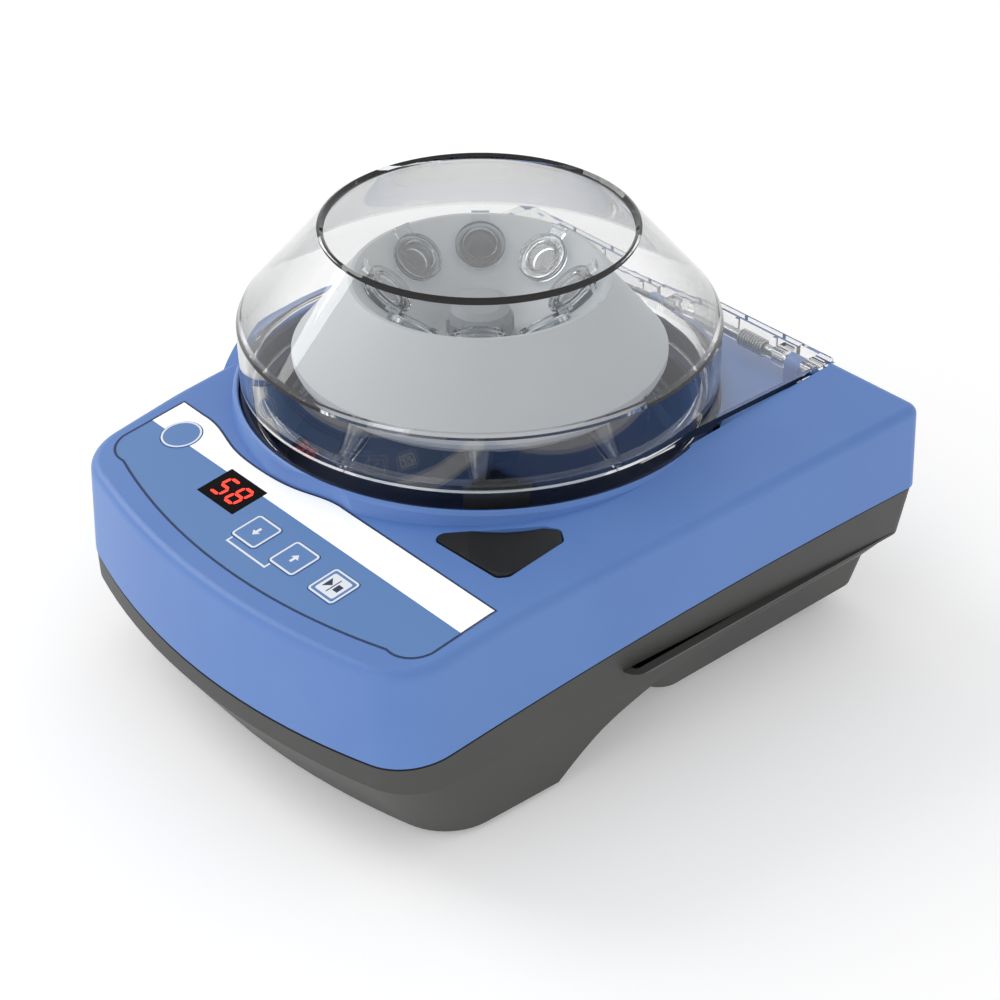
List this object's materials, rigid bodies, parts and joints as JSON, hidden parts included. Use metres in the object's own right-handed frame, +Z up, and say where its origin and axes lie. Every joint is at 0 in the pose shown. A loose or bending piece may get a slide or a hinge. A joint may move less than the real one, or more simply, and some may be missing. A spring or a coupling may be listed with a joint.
{
  "type": "microcentrifuge",
  "caption": "Compact bench microcentrifuge with a clear domed lid over a fixed-angle tube rotor, sloping keypad panel, lid release button and footed tray.",
  "frame": {"origin": "middle of the overall box in plan, at the level of the ground under the rubber feet", "axes": "+Z up, -Y toward the front panel, +X to the right seen from the front"},
  "size_m": [0.162, 0.1748, 0.11],
  "materials": {
    "housing_blue": "fine satin moulded ABS",
    "tray_grey": "textured moulded ABS",
    "seal_black": "soft elastomer",
    "well_navy": "smooth moulded polymer",
    "screw_steel": "zinc plated steel",
    "overlay_print": "printed polyester film, blue field and white band",
    "window_smoked": "smoked polycarbonate",
    "display_black": "moulded LED module",
    "board_green": "solder mask",
    "key_print": "printed film key cap",
    "switch_black": "moulded switch body",
    "button_black": "satin moulded polymer",
    "spring_steel": "drawn spring wire",
    "pawl_grey": "acetal",
    "lid_clear": "clear moulded polycarbonate",
    "catch_black": "acetal",
    "bumper_black": "elastomer",
    "pin_steel": "ground steel",
    "bracket_steel": "zinc plated sheet steel",
    "damper_rubber": "elastomer",
    "motor_steel": "drawn can",
    "cap_plastic": "moulded brush card",
    "terminal_brass": "plated tab",
    "adapter_brass": "turned",
    "rotor_grey": "moulded polypropylene",
    "nut_grey": "moulded, fluted",
    "tube_clear": "clear polypropylene",
    "cap_clear": "clear polypropylene",
    "component_dark": "sleeved and moulded components",
    "socket_black": "moulded socket body",
    "wire_red": "insulated wire",
    "foot_rubber": "soft elastomer",
    "plate_silver": "blank foil label"
  },
  "bodies": {
    "housing": {"upper_housing": "housing_blue", "base_tray": "tray_grey", "parting_seal": "seal_black", "rotor_bowl": "well_navy", "bowl_screws": "screw_steel", "control_panel_overlay": "overlay_print", "display_window": "window_smoked", "display_module": "display_black", "control_board": "board_green", "board_screws": "screw_steel", "key_switches": "switch_black", "latch_guide": "pawl_grey", "lid_switch": "switch_black", "lid_bumpers": "bumper_black", "hinge_pin": "pin_steel", "hinge_springs": "spring_steel", "motor_mount_plate": "bracket_steel", "motor_dampers": "damper_rubber", "motor_screws": "screw_steel", "motor_can": "motor_steel", "motor_end_cap": "cap_plastic", "motor_terminals": "terminal_brass", "power_board": "board_green", "power_components": "component_dark", "power_board_screws": "screw_steel", "dc_inlet_socket": "socket_black", "dc_centre_pin": "terminal_brass", "lead_wires": "wire_red", "rubber_feet": "foot_rubber", "housing_screws": "screw_steel", "rating_plate": "plate_silver"},
    "lid": {"lid_dome": "lid_clear", "lid_catch": "catch_black"},
    "rotor": {"spindle": "pin_steel", "rotor_adapter": "adapter_brass", "rotor": "rotor_grey", "rotor_lock_nut": "nut_grey", "sample_tubes": "tube_clear", "tube_caps": "cap_clear"},
    "open_button": {"lid_open_button": "button_black", "button_spring": "spring_steel"},
    "latch_pawl": {"latch_pawl": "pawl_grey", "latch_spring": "spring_steel"},
    "power_key": {"power_key": "key_print"},
    "down_key": {"down_key": "key_print"},
    "up_key": {"up_key": "key_print"},
    "start_key": {"start_key": "key_print"}
  },
  "joints": [
    {"name": "lid_hinge", "type": "hinge", "parent": "housing", "child": "lid", "pos_m": [0, 0.0829, 0.0632], "axis": [-1, 0, 0], "range_deg": [0, 85]},
    {"name": "rotor_spin", "type": "hinge", "parent": "housing", "child": "rotor", "pos_m": [-0.0108, 0.016, 0.06], "axis": [0, 0, 1], "continuous": true},
    {"name": "open_button_press", "type": "slide", "parent": "housing", "child": "open_button", "axis": [0, 0, -1], "range_m": [0, 0.002], "stiffness_N_per_m": 900, "springref_m": -0.0015},
    {"name": "latch_slide", "type": "slide", "parent": "housing", "child": "latch_pawl", "axis": [0.7986, -0.6018, 0], "range_m": [0, 0.002]},
    {"name": "power_key_press", "type": "slide", "parent": "housing", "child": "power_key", "axis": [0, 0.1348, -0.9909], "range_m": [0, 0.0005], "stiffness_N_per_m": 1200, "springref_m": -0.0006},
    {"name": "down_key_press", "type": "slide", "parent": "housing", "child": "down_key", "axis": [0, 0.1348, -0.9909], "range_m": [0, 0.0005], "stiffness_N_per_m": 1200, "springref_m": -0.0006},
    {"name": "up_key_press", "type": "slide", "parent": "housing", "child": "up_key", "axis": [0, 0.1348, -0.9909], "range_m": [0, 0.0005], "stiffness_N_per_m": 1200, "springref_m": -0.0006},
    {"name": "start_key_press", "type": "slide", "parent": "housing", "child": "start_key", "axis": [0, 0.1348, -0.9909], "range_m": [0, 0.0005], "stiffness_N_per_m": 1200, "springref_m": -0.0006}
  ],
  "couplings": [
    {"joint": "latch_slide", "follows": "open_button_press", "ratio": 1}
  ]
}
